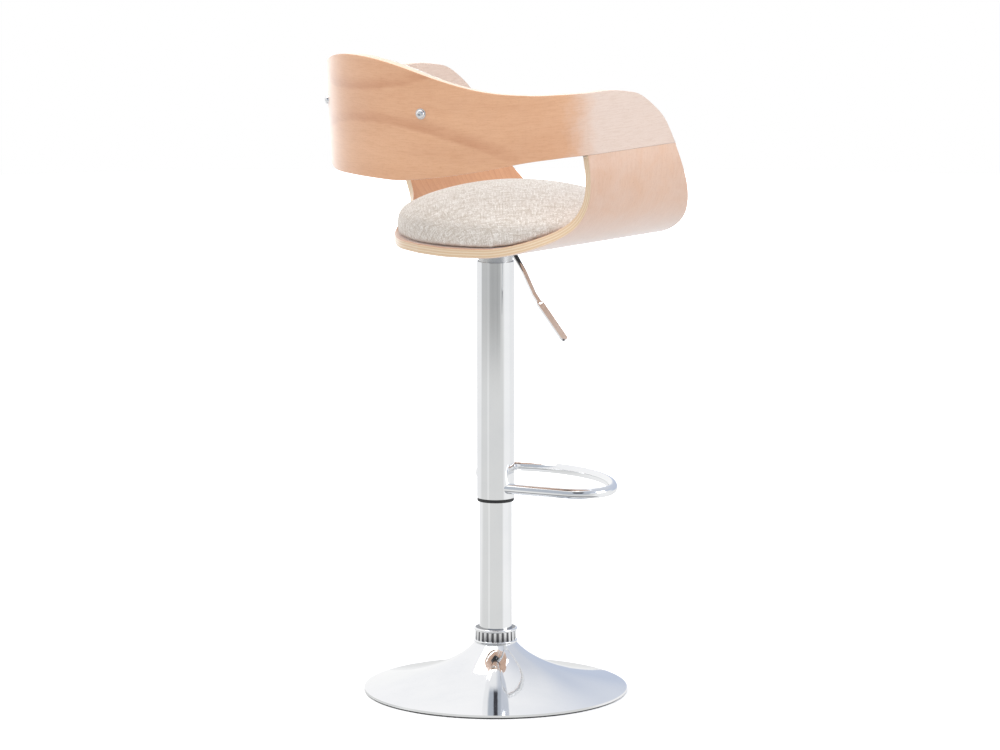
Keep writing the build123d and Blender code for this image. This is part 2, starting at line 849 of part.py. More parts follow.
pieces = {
    "floor_mat": make_floor_mat(),
    "base_cover": make_base_cover(),
    "base_weight": make_base_weight(),
    "column_flange": make_column_flange(),
    "flange_bolts": make_flange_bolts(),
    "flange_nuts": make_flange_nuts(),
    "fluted_collar": make_collar(),
    "lower_tube": make_lower_tube(),
    "rod_seat": make_rod_seat(),
    "guide_bush": make_guide_bush(),
    "bearing_lower_race": make_bearing_race(rod_seat_top),
    "bearing_balls": make_bearing_balls(),
    "bearing_cage": make_bearing_cage(),
    "bearing_upper_race": make_bearing_race(upper_race_bottom),
    "piston_rod": make_piston_rod(),
    "retaining_clip": make_retaining_clip(),
    "bump_stop": make_bump_stop(),
    "piston": make_piston(),
    "gas_cylinder": make_gas_cylinder(),
    "cylinder_gland": make_cylinder_gland(),
    "upper_tube": make_upper_tube(),
    "sleeve_cap": make_sleeve_cap(),
    "sleeve_end_ring": make_sleeve_end_ring(),
    "foot_loop": make_foot_loop(),
    "seat_plate": make_seat_plate(),
    "plate_screws": make_plate_screws(),
    "screw_inserts": make_screw_inserts(),
    "plate_socket": make_plate_socket(),
    "lever_bracket": make_lever_bracket(),
    "lever_pin": make_lever_pin(),
    "release_lever": make_release_lever(),
    "valve_button": make_valve_button(),
    "seat_shell": make_seat_shell(),
    "seam_dowels": make_seam_dowels(),
    "back_band": make_back_band(),
    "seat_cushion": make_seat_cushion(),
    "cushion_board": make_cushion_board(),
    "cushion_bolts": make_cushion_bolts(),
    "back_pad": make_back_pad(),
    "back_pad_board": make_back_pad_board(),
    "back_bolts": make_back_bolts(),
    "back_washers": make_back_washers(),
}

os.makedirs("parts", exist_ok=True)
for name, piece in pieces.items():
    solids = piece if isinstance(piece, list) else [piece]
    solids = [solid for part in solids for solid in part.solids()]
    export_step(Compound(children=solids), f"parts/{name}.step")
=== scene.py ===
import bmesh
import bpy
import math
from mathutils import Matrix, Vector


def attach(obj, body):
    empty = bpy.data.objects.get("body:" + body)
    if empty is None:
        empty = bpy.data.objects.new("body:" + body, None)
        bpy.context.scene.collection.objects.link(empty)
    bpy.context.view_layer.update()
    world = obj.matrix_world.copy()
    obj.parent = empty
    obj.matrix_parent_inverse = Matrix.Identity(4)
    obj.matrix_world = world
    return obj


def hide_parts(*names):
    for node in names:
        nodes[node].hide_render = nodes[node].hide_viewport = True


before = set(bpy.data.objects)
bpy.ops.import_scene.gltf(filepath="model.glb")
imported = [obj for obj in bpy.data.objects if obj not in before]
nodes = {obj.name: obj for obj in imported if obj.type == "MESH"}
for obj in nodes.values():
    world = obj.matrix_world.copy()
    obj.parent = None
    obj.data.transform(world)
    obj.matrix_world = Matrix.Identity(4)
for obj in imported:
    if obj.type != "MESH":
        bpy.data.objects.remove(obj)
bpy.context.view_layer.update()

# Sizes in metres, the same as those of the solid part
SEAT_HEIGHT = 0.690
SEAT_TILT = 2.87
PLY = 0.014
HALF_WIDTH = 0.250
BEND_RADIUS = 0.140
SEAM_HEIGHT = 0.155
SEAM_GAP = 0.0002
BACK_CENTRE = 0.010
PLY_LAYERS = 7
SAME_PLACE = 1e-5

SHELL_REAR_LINE = [
    (0.0, -0.142), (0.060, -0.134), (0.110, -0.108), (0.150, -0.076), (0.175, -0.049),
    (0.198, -0.023), (0.222, -0.007), (0.250, -0.0005), (0.280, 0.0), (0.345, -0.007),
]
SHELL_FRONT_LINE = [
    (0.0, 0.206), (0.170, 0.206), (0.210, 0.203), (0.246, 0.193), (0.278, 0.181),
    (0.316, 0.165), (0.345, 0.154),
]
BAND_TOP_LINE = [
    (-0.240, 0.153), (-0.196, 0.123), (-0.150, 0.104), (-0.092, 0.095), (-0.055, 0.093),
    (0.0, 0.091), (0.040, 0.0905), (0.068, 0.086), (0.092, 0.079), (0.118, 0.059),
    (0.138, 0.036), (0.154, 0.002),
]
BAND_LOW_LINE = [
    (-0.240, -0.026), (-0.228, -0.027), (-0.205, -0.022), (-0.110, -0.004), (-0.050, 0.0),
    (-0.007, 0.0), (0.154, 0.0),
]

# The way the stool is looked at, and the lie of the cushion's cloth with it
AWAY = Vector((0.809, -0.588, 0.0))
RIGHT = Vector((-0.588, -0.809, 0.0))

seat_lean = Matrix.Rotation(math.radians(-SEAT_TILT), 4, "X")
seat_frame = Matrix.Translation((0, 0, SEAT_HEIGHT)) @ seat_lean


# Small helpers for shader trees
def add(tree, kind, **settings):
    node = tree.nodes.new("ShaderNode" + kind)
    for name, value in settings.items():
        setattr(node, name, value)
    return node


def feed(tree, socket, value):
    if isinstance(value, bpy.types.NodeSocket):
        tree.links.new(value, socket)
    else:
        socket.default_value = value


def set_inputs(node, **values):
    for name, value in values.items():
        node.inputs[name.replace("_", " ")].default_value = value


def calc(tree, operation, *values):
    node = add(tree, "Math", operation=operation)
    for socket, value in zip(node.inputs, values):
        feed(tree, socket, value)
    return node.outputs[0]


def times(tree, product, *factors):
    for factor in factors:
        product = calc(tree, "MULTIPLY", product, factor)
    return product


def plus(tree, first, second):
    return calc(tree, "ADD", first, second)


def gap_from(tree, value, middle):
    """How far a number is from the middle, on either side."""
    return calc(tree, "ABSOLUTE", calc(tree, "SUBTRACT", value, middle))


def dot(tree, first, second):
    node = add(tree, "VectorMath", operation="DOT_PRODUCT")
    feed(tree, node.inputs[0], first)
    feed(tree, node.inputs[1], second)
    return node.outputs["Value"]


def ease(tree, value, low, high, start=0.0, end=1.0):
    node = add(tree, "MapRange", interpolation_type="SMOOTHSTEP")
    for socket, number in zip(node.inputs, (value, low, high, start, end)):
        feed(tree, socket, number)
    return node.outputs[0]


def blend_colours(tree, share, first, second, way="MIX"):
    node = add(tree, "Mix", data_type="RGBA", blend_type=way)
    feed(tree, node.inputs[0], share)
    feed(tree, node.inputs[6], first)
    feed(tree, node.inputs[7], second)
    return node.outputs[2]


def stretch(tree, vector, scale, turn=(0, 0, 0)):
    node = add(tree, "Mapping")
    feed(tree, node.inputs["Vector"], vector)
    set_inputs(node, Rotation=turn, Scale=scale)
    return node.outputs[0]


def grainy(tree, vector, scale, detail=2.0, roughness=0.5, distortion=0.0):
    node = add(tree, "TexNoise")
    feed(tree, node.inputs["Vector"], vector)
    feed(tree, node.inputs["Scale"], scale)
    set_inputs(node, Detail=detail, Roughness=roughness, Distortion=distortion)
    return node.outputs[0]


def stretched(tree, vector, scale, detail, roughness, distortion=0.0):
    """Noise whose grains are longer one way than the other."""
    return grainy(tree, stretch(tree, vector, scale), 1.0, detail, roughness, distortion)


def parts_of(tree, vector):
    node = add(tree, "SeparateXYZ")
    feed(tree, node.inputs[0], vector)
    return node.outputs


def vector_of(tree, x, y, z=0.0):
    node = add(tree, "CombineXYZ")
    for socket, value in zip(node.inputs, (x, y, z)):
        feed(tree, socket, value)
    return node.outputs[0]


def new_group(name, place, numbers, outputs):
    """A group that reads one place and some numbers, and gives numbers back."""
    group = bpy.data.node_groups.new(name, "ShaderNodeTree")
    sockets = group.interface
    sockets.new_socket(name=place, in_out="INPUT", socket_type="NodeSocketVector")
    for label, value in numbers.items():
        socket = sockets.new_socket(name=label, in_out="INPUT", socket_type="NodeSocketFloat")
        socket.default_value = value
    for label in outputs:
        sockets.new_socket(name=label, in_out="OUTPUT", socket_type="NodeSocketFloat")
    given = group.nodes.new("NodeGroupInput").outputs
    return group, given, group.nodes.new("NodeGroupOutput").inputs


def place_group(tree, group, **values):
    node = tree.nodes.new("ShaderNodeGroup")
    node.node_tree = group
    for name, value in values.items():
        feed(tree, node.inputs[name.replace("_", " ")], value)
    return node.outputs


def bump(tree, height, strength, distance):
    node = add(tree, "Bump")
    set_inputs(node, Strength=strength, Distance=distance)
    feed(tree, node.inputs["Height"], height)
    return node.outputs[0]


def new_material(name, metallic=0.0, roughness=0.5):
    material = bpy.data.materials.new(name)
    material.use_nodes = True
    tree = material.node_tree
    shader = tree.nodes["Principled BSDF"]
    set_inputs(shader, Metallic=metallic, Roughness=roughness)
    return material, tree, shader


# Effects that several finishes share
def make_fine_scratches():
    """Hairline scratches at two slants, and the faint clouding that handling leaves."""
    group, given, out = new_group(
        "fine_scratches", "Vector", {"Scale": 1.0}, ["Scratches", "Clouding"]
    )
    size = times(group, given["Scale"], 60.0)
    lines = []
    for turn in ((0.2, 0.5, 0.6), (1.1, 0.3, 2.2)):
        slanted = stretch(group, given["Vector"], (1.0, 26.0, 26.0), turn=turn)
        lines.append(ease(group, grainy(group, slanted, size, 1.0, 0.6), 0.66, 0.74))
    feed(group, out["Scratches"], calc(group, "MAXIMUM", *lines))
    cloud = grainy(group, given["Vector"], times(group, given["Scale"], 9.0), 4.0, 0.6)
    feed(group, out["Clouding"], ease(group, cloud, 0.35, 0.75))
    return group


def make_fine_grit():
    """Pebbled surface of moulded, painted and cast pieces, with dust in its hollows."""
    group, given, out = new_group("fine_grit", "Vector", {"Scale": 1.0}, ["Height", "Dust"])
    pebble = grainy(group, given["Vector"], times(group, given["Scale"], 900.0), 2.0, 0.55)
    wave = grainy(group, given["Vector"], times(group, given["Scale"], 70.0), 3.0, 0.5)
    feed(group, out["Height"], plus(group, times(group, pebble, 0.6), wave))
    drift = grainy(group, given["Vector"], times(group, given["Scale"], 28.0), 5.0, 0.65)
    feed(group, out["Dust"], ease(group, drift, 0.5, 0.8))
    return group


def make_edge_rub():
    """Where handling has rubbed a raised edge: bevelled normals differ from the flat ones."""
    group, given, out = new_group("edge_rub", "Vector", {"Width": 0.002}, ["Rub"])
    soft = add(group, "Bevel", samples=4)
    feed(group, soft.inputs["Radius"], given["Width"])
    flat = add(group, "NewGeometry")
    alike = dot(group, soft.outputs[0], flat.outputs["Normal"])
    worn = ease(group, alike, 0.995, 0.9)
    broken = ease(group, grainy(group, given["Vector"], 160.0, 4.0, 0.6), 0.4, 0.62)
    feed(group, out["Rub"], times(group, worn, broken))
    return group


def make_veneer_grain():
    """Beech veneer on a flat sheet: x runs along the grain, y across it, both in metres."""
    group, given, out = new_group(
        "veneer_grain", "Sheet", {"Line Pitch": 0.010},
        ["Figure", "Lines", "Flecks", "Fibre", "Height"],
    )
    figure = stretched(group, given["Sheet"], (2.6, 15.0, 1.0), 3.0, 0.55, 0.5)
    feed(group, out["Figure"], ease(group, figure, 0.3, 0.7))
    drift = stretched(group, given["Sheet"], (3.2, 6.0, 1.0), 2.0, 0.5)
    across = calc(group, "DIVIDE", parts_of(group, given["Sheet"])[1], given["Line Pitch"])
    turns = plus(group, across, times(group, drift, 7.0))
    saw = calc(group, "FRACT", turns)
    fade = calc(group, "POWER", saw, 2.2)
    ragged = stretched(group, given["Sheet"], (14.0, 240.0, 1.0), 3.0, 0.6)
    feed(group, out["Lines"], times(group, fade, ease(group, ragged, 0.2, 0.75, 0.35, 1.0)))
    short = stretched(group, given["Sheet"], (260.0, 1900.0, 1.0), 1.0, 0.5)
    flecks = ease(group, short, 0.6, 0.72)
    feed(group, out["Flecks"], flecks)
    fibre = stretched(group, given["Sheet"], (48.0, 520.0, 1.0), 3.0, 0.65)
    feed(group, out["Fibre"], ease(group, fibre, 0.42, 0.68))
    fine = stretched(group, given["Sheet"], (60.0, 1500.0, 1.0), 2.0, 0.6)
    feed(group, out["Height"], calc(group, "SUBTRACT", fine, times(group, flecks, 0.7)))
    return group


def make_ply_layers():
    """Edge of the seven-layer board: cross layers show end grain, long layers pale stripes."""
    group, given, out = new_group(
        "ply_layers", "Sheet", {"Layer": PLY / PLY_LAYERS},
        ["Cross Layer", "Glue Line", "Edge", "End Grain"],
    )
    run, reach, depth = parts_of(group, given["Sheet"])
    wander = stretched(group, given["Sheet"], (22.0, 22.0, 1.0), 2.0, 0.5)
    shift = times(group, calc(group, "SUBTRACT", wander, 0.5), 0.0007)
    layers = calc(group, "DIVIDE", plus(group, depth, shift), given["Layer"])
    half = calc(group, "FRACT", times(group, layers, 0.5))
    rise = ease(group, half, 0.46, 0.54)
    fall = ease(group, half, 0.94, 1.0, 1.0, 0.0)
    feed(group, out["Cross Layer"], times(group, rise, fall))
    near_line = gap_from(group, calc(group, "FRACT", layers), 0.5)
    feed(group, out["Glue Line"], ease(group, near_line, 0.40, 0.49))
    past_front = ease(group, depth, 0.0006, 0.0013)
    before_back = ease(group, depth, PLY - 0.0013, PLY - 0.0006, 1.0, 0.0)
    feed(group, out["Edge"], times(group, past_front, before_back))
    pores = grainy(group, vector_of(group, plus(group, run, reach), depth), 1700.0, 2.0, 0.6)
    feed(group, out["End Grain"], pores)
    return group


def make_soft_streak():
    """One darker band of heartwood that bends across a flat sheet."""
    group, given, out = new_group(
        "soft_streak", "Sheet", {"Along": 0.0, "Across": 0.1, "Bend": 0.5, "Width": 0.006},
        ["Streak"],
    )
    run, reach = parts_of(group, given["Sheet"])[:2]
    away = calc(group, "SUBTRACT", run, given["Along"])
    middle = plus(group, given["Across"], times(group, given["Bend"], times(group, away, away)))
    wobble = stretched(group, given["Sheet"], (18.0, 18.0, 1.0), 3.0, 0.6)
    middle = plus(group, middle, times(group, calc(group, "SUBTRACT", wobble, 0.5), 0.012))
    off = calc(group, "SUBTRACT", reach, middle)
    below = ease(group, calc(group, "DIVIDE", off, given["Width"]), -1.0, 0.0)
    upper_width = times(group, given["Width"], 3.5)
    above = ease(group, calc(group, "DIVIDE", off, upper_width), 0.0, 1.0, 1.0, 0.0)
    ends = ease(group, calc(group, "ABSOLUTE", away), 0.17, 0.27, 1.0, 0.0)
    patches = stretched(group, given["Sheet"], (12.0, 60.0, 1.0), 3.0, 0.6)
    patchy = ease(group, patches, 0.25, 0.6, 0.45, 1.0)
    feed(group, out["Streak"], times(group, below, above, ends, patchy))
    return group


def make_linen_weave():
    """Plain weave of slubby two-tone yarns on a flat cloth, in metres."""
    group, given, out = new_group(
        "linen_weave", "Cloth", {"Pitch": 0.0021}, ["Yarn Tone", "Slub", "Gap", "Height"]
    )
    wander = add(group, "TexNoise")
    feed(group, wander.inputs["Vector"], given["Cloth"])
    set_inputs(wander, Scale=30.0)
    drift = add(group, "VectorMath", operation="MULTIPLY_ADD")
    feed(group, drift.inputs[0], wander.outputs["Color"])
    drift.inputs[1].default_value = (0.0016, 0.0016, 0.0)
    feed(group, drift.inputs[2], given["Cloth"])
    u, v = parts_of(group, drift.outputs[0])[:2]
    yarns, waves = [], []
    for place in (u, v):
        turns = calc(group, "DIVIDE", place, given["Pitch"])
        yarns.append(calc(group, "FLOOR", turns))
        waves.append(calc(group, "ABSOLUTE", calc(group, "SINE", times(group, turns, math.pi))))
    u_yarn, v_yarn = yarns
    u_wave, v_wave = waves
    whole = plus(group, u_yarn, v_yarn)
    over = calc(group, "GREATER_THAN", calc(group, "PINGPONG", whole, 1.0), 0.5)
    under = calc(group, "SUBTRACT", 1.0, over)
    yarn_step, mottle = 0.73, 75.0
    warp_place = vector_of(group, times(group, u_yarn, yarn_step), times(group, v, mottle))
    weft_place = vector_of(group, times(group, u, mottle), times(group, v_yarn, yarn_step), 7.0)
    warp_tone, weft_tone = (
        grainy(group, place, 1.0, 3.0, 0.65) for place in (warp_place, weft_place)
    )
    tone = plus(group, times(group, warp_tone, over), times(group, weft_tone, under))
    feed(group, out["Yarn Tone"], ease(group, tone, 0.34, 0.66))
    warp_slubs = vector_of(group, times(group, u, 400.0), times(group, v, 36.0))
    weft_slubs = vector_of(group, times(group, u, 30.0), times(group, v, 190.0), 3.0)
    slub_u = ease(group, grainy(group, warp_slubs, 1.0, 2.0, 0.5), 0.50, 0.68, 0.0, 0.75)
    slub_v = ease(group, grainy(group, weft_slubs, 1.0, 3.0, 0.7), 0.50, 0.66)
    feed(group, out["Slub"], calc(group, "MAXIMUM", slub_u, slub_v))
    shown = calc(group, "MAXIMUM", times(group, u_wave, over), times(group, v_wave, under))
    feed(group, out["Gap"], ease(group, shown, 0.3, 0.0))
    warp_rise = times(group, u_wave, times(group, v_wave, over))
    weft_rise = times(group, v_wave, times(group, u_wave, under))
    rise = plus(group, warp_rise, times(group, weft_rise, 0.8))
    feed(group, out["Height"], plus(group, rise, times(group, tone, 0.8)))
    return group


fine_scratches = make_fine_scratches()
fine_grit = make_fine_grit()
edge_rub = make_edge_rub()
veneer_grain = make_veneer_grain()
ply_layers = make_ply_layers()
soft_streak = make_soft_streak()
linen_weave = make_linen_weave()


def object_place(tree):
    return add(tree, "TexCoord").outputs["Object"]


# Finishes
def make_bright_metal(name, pale, dull, smooth, rough, scratch_scale, relief, flute_floor=None):
    """Plated or turned metal. Below the flute floor radius the grooves get painted shade."""
    material, tree, shader = new_material(name, 1.0)
    where = object_place(tree)
    marks = place_group(tree, fine_scratches, Vector=where, Scale=scratch_scale)
    tone = blend_colours(tree, marks["Clouding"], pale, dull)
    if flute_floor is not None:
        x, y = parts_of(tree, where)[:2]
        radius = calc(tree, "SQRT", plus(tree, times(tree, x, x), times(tree, y, y)))
        # Painted shade: the base colour turns dark grey towards the bottom of the flutes
        flute_painted_shade = ease(tree, radius, flute_floor + 0.0004, flute_floor)
        tone = blend_colours(tree, flute_painted_shade, tone, (0.16, 0.16, 0.165, 1))
    feed(tree, shader.inputs["Base Color"], tone)
    haze = times(tree, marks["Clouding"], 0.5)
    worn = calc(tree, "MAXIMUM", haze, marks["Scratches"])
    feed(tree, shader.inputs["Roughness"], ease(tree, worn, 0.0, 1.0, smooth, rough))
    feed(tree, shader.inputs["Normal"], bump(tree, marks["Scratches"], relief, 0.00005))
    return material


def make_dark_coat(name, base, dusty, roughness, grit_scale, relief, coat, bare=None):
    """Paint, plastic, rubber or raw casting. A bare tone shows where the edges are rubbed."""
    material, tree, shader = new_material(name, 0.0, roughness)
    set_inputs(shader, Coat_Weight=coat, Coat_Roughness=0.25)
    where = object_place(tree)
    grit = place_group(tree, fine_grit, Vector=where, Scale=grit_scale)
    tone = blend_colours(tree, times(tree, grit["Dust"], 0.5), base, dusty)
    if bare is not None:
        rub = place_group(tree, edge_rub, Vector=where, Width=0.0012)["Rub"]
        tone = blend_colours(tree, rub, tone, bare)
        feed(tree, shader.inputs["Metallic"], rub)
    feed(tree, shader.inputs["Base Color"], tone)
    dulled = min(roughness + 0.25, 1.0)
    feed(tree, shader.inputs["Roughness"], ease(tree, grit["Dust"], 0.0, 1.0, roughness, dulled))
    feed(tree, shader.inputs["Normal"], bump(tree, grit["Height"], relief, 0.0002))
    return material


def make_beech_ply(
    name, streaks, pitch, pink, line_strength, fibre_strength, inner_painted_shade,
    painted_sheen_from=None, painted_bounce_under=None,
):
    """Clear-lacquered beech ply. The sheet attribute holds the flat place and the depth.

    Painted light pales the wood: a painted sheen on both ends from one place on, or painted
    floor light on the middle up to another. The inner skin takes painted shade. The lacquer's
    sheen gives the steep faces their pale haze.
    """
    material, tree, shader = new_material(name, 0.0, 0.42)
    sheet = add(tree, "Attribute", attribute_name="sheet").outputs["Vector"]
    grain = place_group(tree, veneer_grain, Sheet=sheet, Line_Pitch=pitch)
    tan = blend_colours(tree, grain["Figure"], (0.705, 0.395, 0.220, 1), (0.630, 0.335, 0.180, 1))
    mottle = stretched(tree, sheet, (22.0, 26.0, 1.0), 4.0, 0.6, 0.8)
    outer_skin = ease(tree, parts_of(tree, sheet)[2], 0.006, 0.008, 1.0, 0.0)
    blush = times(tree, ease(tree, mottle, 0.2, 0.75, 0.55, 1.0), pink, outer_skin)
    tan = blend_colours(tree, blush, tan, (0.70, 0.505, 0.40, 1))
    lines = times(tree, grain["Lines"], ease(tree, outer_skin, 0.0, 1.0, 0.55, line_strength))
    tan = blend_colours(tree, lines, tan, (0.56, 0.27, 0.145, 1))
    for along, across, bend, width in streaks:
        mark = place_group(
            tree, soft_streak, Sheet=sheet, Along=along, Across=across, Bend=bend, Width=width
        )
        tan = blend_colours(tree, times(tree, mark["Streak"], 0.66), tan, (0.52, 0.245, 0.13, 1))
    from_middle = calc(tree, "ABSOLUTE", parts_of(tree, sheet)[0])
    # Painted sheen: both ends of the sheet pale from one place on, standing in for lamp light on
    # the arms
    if painted_sheen_from is not None:
        ragged = times(tree, calc(tree, "SUBTRACT", mottle, 0.5), 0.07)
        along = plus(tree, from_middle, ragged)
        painted_paling = times(tree, ease(tree, along, painted_sheen_from, painted_sheen_from + 0.075), 0.86)
        tan = blend_colours(tree, painted_paling, tan, (0.69, 0.575, 0.505, 1))
    # Painted light bounced from the floor: the outer skin pales towards the middle
    if painted_bounce_under is not None:
        inner = ease(tree, from_middle, painted_bounce_under + 0.06, painted_bounce_under - 0.03, 0.0, 0.45)
        painted_paling = times(tree, inner, outer_skin, ease(tree, from_middle, 0.10, 0.15))
        tan = blend_colours(tree, painted_paling, tan, (0.82, 0.68, 0.60, 1))
    darker = blend_colours(tree, 1.0, tan, (0.80, 0.69, 0.60, 1), "MULTIPLY")
    tan = blend_colours(tree, times(tree, grain["Fibre"], fibre_strength), tan, darker)
    darkest = blend_colours(tree, 1.0, tan, (0.62, 0.50, 0.42, 1), "MULTIPLY")
    tan = blend_colours(tree, times(tree, grain["Flecks"], 0.36), tan, darkest)
    # Painted shade: the inner skin is multiplied darker than the outer skin
    shaded_inner = blend_colours(tree, 1.0, tan, inner_painted_shade, "MULTIPLY")
    tan = blend_colours(tree, outer_skin, shaded_inner, tan)
    layers = place_group(tree, ply_layers, Sheet=sheet)
    pale = blend_colours(tree, layers["Cross Layer"], (0.78, 0.655, 0.49, 1), (0.68, 0.50, 0.32, 1))
    pale = blend_colours(tree, times(tree, layers["End Grain"], 0.35), pale, (0.60, 0.38, 0.2, 1))
    pale = blend_colours(tree, times(tree, layers["Glue Line"], 0.6), pale, (0.50, 0.30, 0.15, 1))
    tone = blend_colours(tree, layers["Edge"], tan, pale)
    feed(tree, shader.inputs["Base Color"], tone)
    cloud = stretched(tree, sheet, (9.0, 9.0, 1.0), 4.0, 0.6)
    sheen = ease(tree, cloud, 0.3, 0.7, 0.36, 0.46)
    feed(tree, shader.inputs["Roughness"], plus(tree, sheen, times(tree, layers["Edge"], 0.2)))
    relief = plus(tree, grain["Height"], times(tree, layers["Cross Layer"], 0.6))
    feed(tree, shader.inputs["Normal"], bump(tree, relief, 0.18, 0.00012))
    set_inputs(
        shader, Coat_Weight=0.18, Coat_Roughness=0.22, Sheen_Weight=0.90, Sheen_Roughness=0.36
    )
    return material


def make_plain_board(name):
    """Hidden boards and dowels: raw beech with its grain along X."""
    material, tree, shader = new_material(name, 0.0, 0.7)
    where = object_place(tree)
    grain = place_group(tree, veneer_grain, Sheet=where, Line_Pitch=0.008)
    tone = blend_colours(tree, grain["Figure"], (0.72, 0.48, 0.29, 1), (0.62, 0.39, 0.22, 1))
    tone = blend_colours(tree, times(tree, grain["Lines"], 0.4), tone, (0.48, 0.28, 0.15, 1))
    feed(tree, shader.inputs["Base Color"], tone)
    feed(tree, shader.inputs["Roughness"], ease(tree, grain["Flecks"], 0.0, 1.0, 0.62, 0.8))
    feed(tree, shader.inputs["Normal"], bump(tree, grain["Height"], 0.3, 0.0003))
    return material


def make_linen(name):
    """Oatmeal melange linen, woven along the cloth attribute."""
    material, tree, shader = new_material(name, 0.0, 0.9)
    cloth = add(tree, "Attribute", attribute_name="cloth").outputs["Vector"]
    weave = place_group(tree, linen_weave, Cloth=cloth)
    tone = blend_colours(tree, weave["Yarn Tone"], (0.52, 0.465, 0.405, 1), (0.81, 0.785, 0.745, 1))
    tone = blend_colours(tree, times(tree, weave["Slub"], 0.56), tone, (0.43, 0.36, 0.29, 1))
    tone = blend_colours(tree, times(tree, weave["Gap"], 0.5), tone, (0.36, 0.28, 0.22, 1))
    feed(tree, shader.inputs["Base Color"], tone)
    feed(tree, shader.inputs["Roughness"], ease(tree, weave["Slub"], 0.0, 1.0, 0.84, 0.96))
    feed(tree, shader.inputs["Normal"], bump(tree, weave["Height"], 0.5, 0.0004))
    set_inputs(
        shader, Sheen_Weight=0.25, Sheen_Roughness=0.5, Sheen_Tint=(0.95, 0.92, 0.88, 1)
    )
    return material


chrome = make_bright_metal(
    "chrome_plating", (0.90, 0.905, 0.91, 1), (0.85, 0.86, 0.875, 1),
    smooth=0.03, rough=0.10, scratch_scale=1.0, relief=0.04,
)
fluted_chrome = make_bright_metal(
    "fluted_chrome", (0.90, 0.905, 0.91, 1), (0.84, 0.85, 0.86, 1),
    smooth=0.05, rough=0.14, scratch_scale=1.6, relief=0.05, flute_floor=0.0302,
)
zinc = make_bright_metal(
    "zinc_plating", (0.66, 0.66, 0.65, 1), (0.50, 0.51, 0.53, 1),
    smooth=0.26, rough=0.46, scratch_scale=2.4, relief=0.3,
)
brass = make_bright_metal(
    "turned_brass", (0.72, 0.53, 0.24, 1), (0.52, 0.37, 0.17, 1),
    smooth=0.22, rough=0.45, scratch_scale=2.0, relief=0.3,
)
cast_iron = make_dark_coat(
    "cast_iron", (0.055, 0.053, 0.05, 1), (0.16, 0.13, 0.11, 1),
    roughness=0.72, grit_scale=0.5, relief=0.7, coat=0.0,
)
satin_black = make_dark_coat(
    "satin_black_paint", (0.013, 0.013, 0.014, 1), (0.06, 0.058, 0.056, 1),
    roughness=0.36, grit_scale=0.8, relief=0.25, coat=0.3, bare=(0.45, 0.45, 0.44, 1),
)
black_plastic = make_dark_coat(
    "moulded_black_plastic", (0.016, 0.016, 0.017, 1), (0.05, 0.05, 0.05, 1),
    roughness=0.48, grit_scale=1.0, relief=0.3, coat=0.0,
)
rubber = make_dark_coat(
    "black_rubber", (0.02, 0.02, 0.02, 1), (0.085, 0.08, 0.075, 1),
    roughness=0.82, grit_scale=0.7, relief=0.5, coat=0.0,
)
# Each streak: place along the sheet, place across it, bend and width
BACK_STREAKS = [
    (0.040, 0.104, 0.7, 0.006), (-0.030, 0.060, -1.15, 0.007), (0.30, 0.075, -0.6, 0.006),
]
SHELL_STREAKS = [(0.33, -0.02, 0.5, 0.008)]
band_ply = make_beech_ply(
    "beech_ply_back", BACK_STREAKS, pitch=0.013, pink=0.12, line_strength=0.16,
    fibre_strength=0.32, inner_painted_shade=(0.97, 0.96, 0.95, 1), painted_sheen_from=0.330,
)
shell_ply = make_beech_ply(
    "beech_ply_shell", SHELL_STREAKS, pitch=0.0095, pink=0.9, line_strength=0.08,
    fibre_strength=0.20, inner_painted_shade=(0.88, 0.81, 0.76, 1), painted_bounce_under=0.22,
)
raw_beech = make_plain_board("raw_beech")
linen = make_linen("oatmeal_linen")

FINISHES = [
    (chrome, [
        "base_cover", "lower_tube", "upper_tube", "foot_loop", "release_lever",
        "back_bolts", "back_washers",
    ]),
    (fluted_chrome, ["fluted_collar"]),
    (zinc, [
        "column_flange", "flange_bolts", "flange_nuts", "rod_seat", "bearing_lower_race",
        "bearing_balls", "bearing_upper_race", "piston_rod", "retaining_clip", "piston",
        "plate_screws", "screw_inserts", "plate_socket", "lever_pin", "valve_button",
        "cushion_bolts",
    ]),
    (brass, ["bearing_cage"]),
    (cast_iron, ["base_weight"]),
    (satin_black, ["gas_cylinder", "seat_plate", "lever_bracket"]),
    (black_plastic, ["guide_bush", "cylinder_gland", "sleeve_cap", "sleeve_end_ring"]),
    (rubber, ["floor_mat", "bump_stop"]),
    (raw_beech, ["seam_dowels", "cushion_board", "back_pad_board"]),
]

for material, names in FINISHES:
    for name in names:
        nodes[name].data.materials.clear()
        nodes[name].data.materials.append(material)


# Bent plywood, cut flat and then bent
def side_line(knots, place):
    """Smooth cubic line through the knots, read at one place."""
    last = len(knots) - 1
    index = 0
    while index < last - 1 and knots[index + 1][0] < place:
        index += 1
    slopes = []
    for i in (index, index + 1):
        before = knots[max(i - 1, 0)]
        after = knots[min(i + 1, last)]
        slopes.append((after[1] - before[1]) / (after[0] - before[0]))
    span = knots[index + 1][0] - knots[index][0]
    t = (place - knots[index][0]) / span
    start_part = (1 + 2 * t) * (1 - t) ** 2 * knots[index][1]
    end_part = t * t * (3 - 2 * t) * knots[index + 1][1]
    lean_part = t * (1 - t) ** 2 * slopes[0] - t * t * (1 - t) * slopes[1]
    return start_part + end_part + lean_part * span


FLOOR_HALF_WIDTH = HALF_WIDTH - BEND_RADIUS
BEND_LENGTH = BEND_RADIUS * math.pi / 2
SHELL_RUN = FLOOR_HALF_WIDTH + BEND_LENGTH + SEAM_HEIGHT - BEND_RADIUS
BAND_ARC = HALF_WIDTH * math.pi / 2
BAND_RUN = BAND_ARC + BAND_TOP_LINE[-1][0] - BACK_CENTRE


